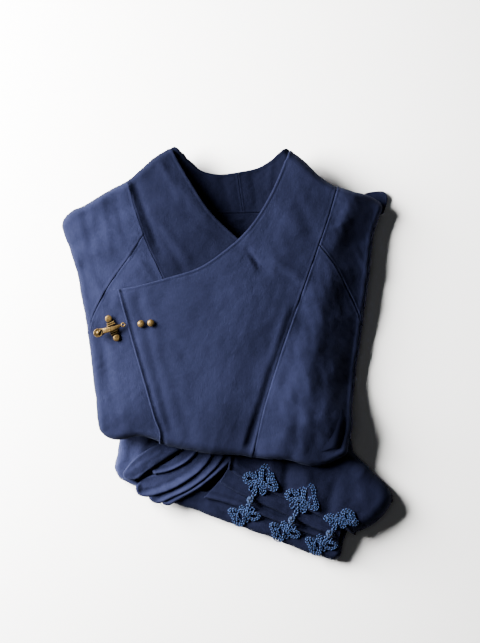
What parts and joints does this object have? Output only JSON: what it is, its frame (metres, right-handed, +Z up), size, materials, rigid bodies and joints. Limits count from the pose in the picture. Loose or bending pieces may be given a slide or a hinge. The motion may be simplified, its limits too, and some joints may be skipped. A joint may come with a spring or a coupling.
{
  "type": "folded hanfu jacket and skirt",
  "caption": "Wrap-front wool jacket with grown-on stand collar, brass clasp and studs, folded flat on its folded skirt with sash and butterfly frogs.",
  "frame": {"origin": "on the floor under the middle of the whole folded garment's box", "axes": "+X to the viewer's right across the shoulders, +Y up to the collar, +Z up from the surface it lies on"},
  "size_m": [0.462, 0.5804, 0.0565],
  "materials": {
    "wool": "brushed wool, matt with a soft nap",
    "skirt_wool": "brushed wool, matt with a soft nap",
    "wool_inside": "matt wool, inner side",
    "frog_cord": "twisted cord, slight sheen",
    "aged_brass": "aged, worn bright on the high spots"
  },
  "bodies": {
    "root": {"front_wrap": "wool", "front_under": "wool", "side_front_left": "wool", "side_front_right": "wool", "sleeve_left": "wool", "sleeve_right": "wool", "back_shoulder_right": "wool", "skirt_side_left": "skirt_wool", "skirt_front_lower": "skirt_wool", "placket_fold_lower": "skirt_wool", "placket_fold_upper": "skirt_wool", "skirt_front_upper": "skirt_wool", "sash_end": "skirt_wool", "sash_inner": "skirt_wool", "sash_loop_1": "skirt_wool", "sash_loop_2": "skirt_wool", "sash_loop_3": "skirt_wool", "collar_back_left": "wool_inside", "collar_back_right": "wool_inside", "back_neck": "wool_inside", "body_core": "wool_inside", "skirt_core": "wool_inside", "frog_upper_1": "frog_cord", "frog_lower_1": "frog_cord", "frog_upper_2": "frog_cord", "frog_lower_2": "frog_cord", "frog_upper_3": "frog_cord", "frog_lower_3": "frog_cord", "frog_knot_1": "frog_cord", "frog_knot_2": "frog_cord", "frog_knot_3": "frog_cord", "clasp_base": "aged_brass", "clasp_lever": "aged_brass", "clasp_ring": "aged_brass", "stud_1": "aged_brass", "stud_2": "aged_brass"}
  },
  "joints": []
}
